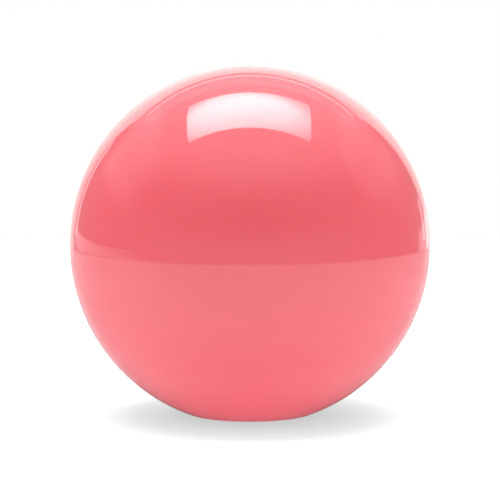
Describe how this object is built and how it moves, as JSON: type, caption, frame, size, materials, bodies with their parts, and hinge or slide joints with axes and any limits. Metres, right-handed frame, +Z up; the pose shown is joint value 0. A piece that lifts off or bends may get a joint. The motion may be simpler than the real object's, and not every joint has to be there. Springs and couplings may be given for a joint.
{
  "type": "joystick ball top",
  "caption": "Glossy moulded ball with a small flat foot and a blind threaded brass insert, used as the grip on a joystick lever.",
  "frame": {"origin": "centre of the flat foot at the bottom of the ball, in the foot's plane", "axes": "+Z up through the ball along the thread's axis; X and Y are in the foot's plane and equivalent"},
  "size_m": [0.035, 0.035, 0.0339],
  "materials": {
    "shell_plastic": "mirror gloss, coral red",
    "core_plastic": "matt as moulded, coral red",
    "insert_brass": "turned, dull"
  },
  "bodies": {
    "root": {"outer_shell": "shell_plastic", "inner_core": "core_plastic", "threaded_insert": "insert_brass"}
  },
  "joints": []
}
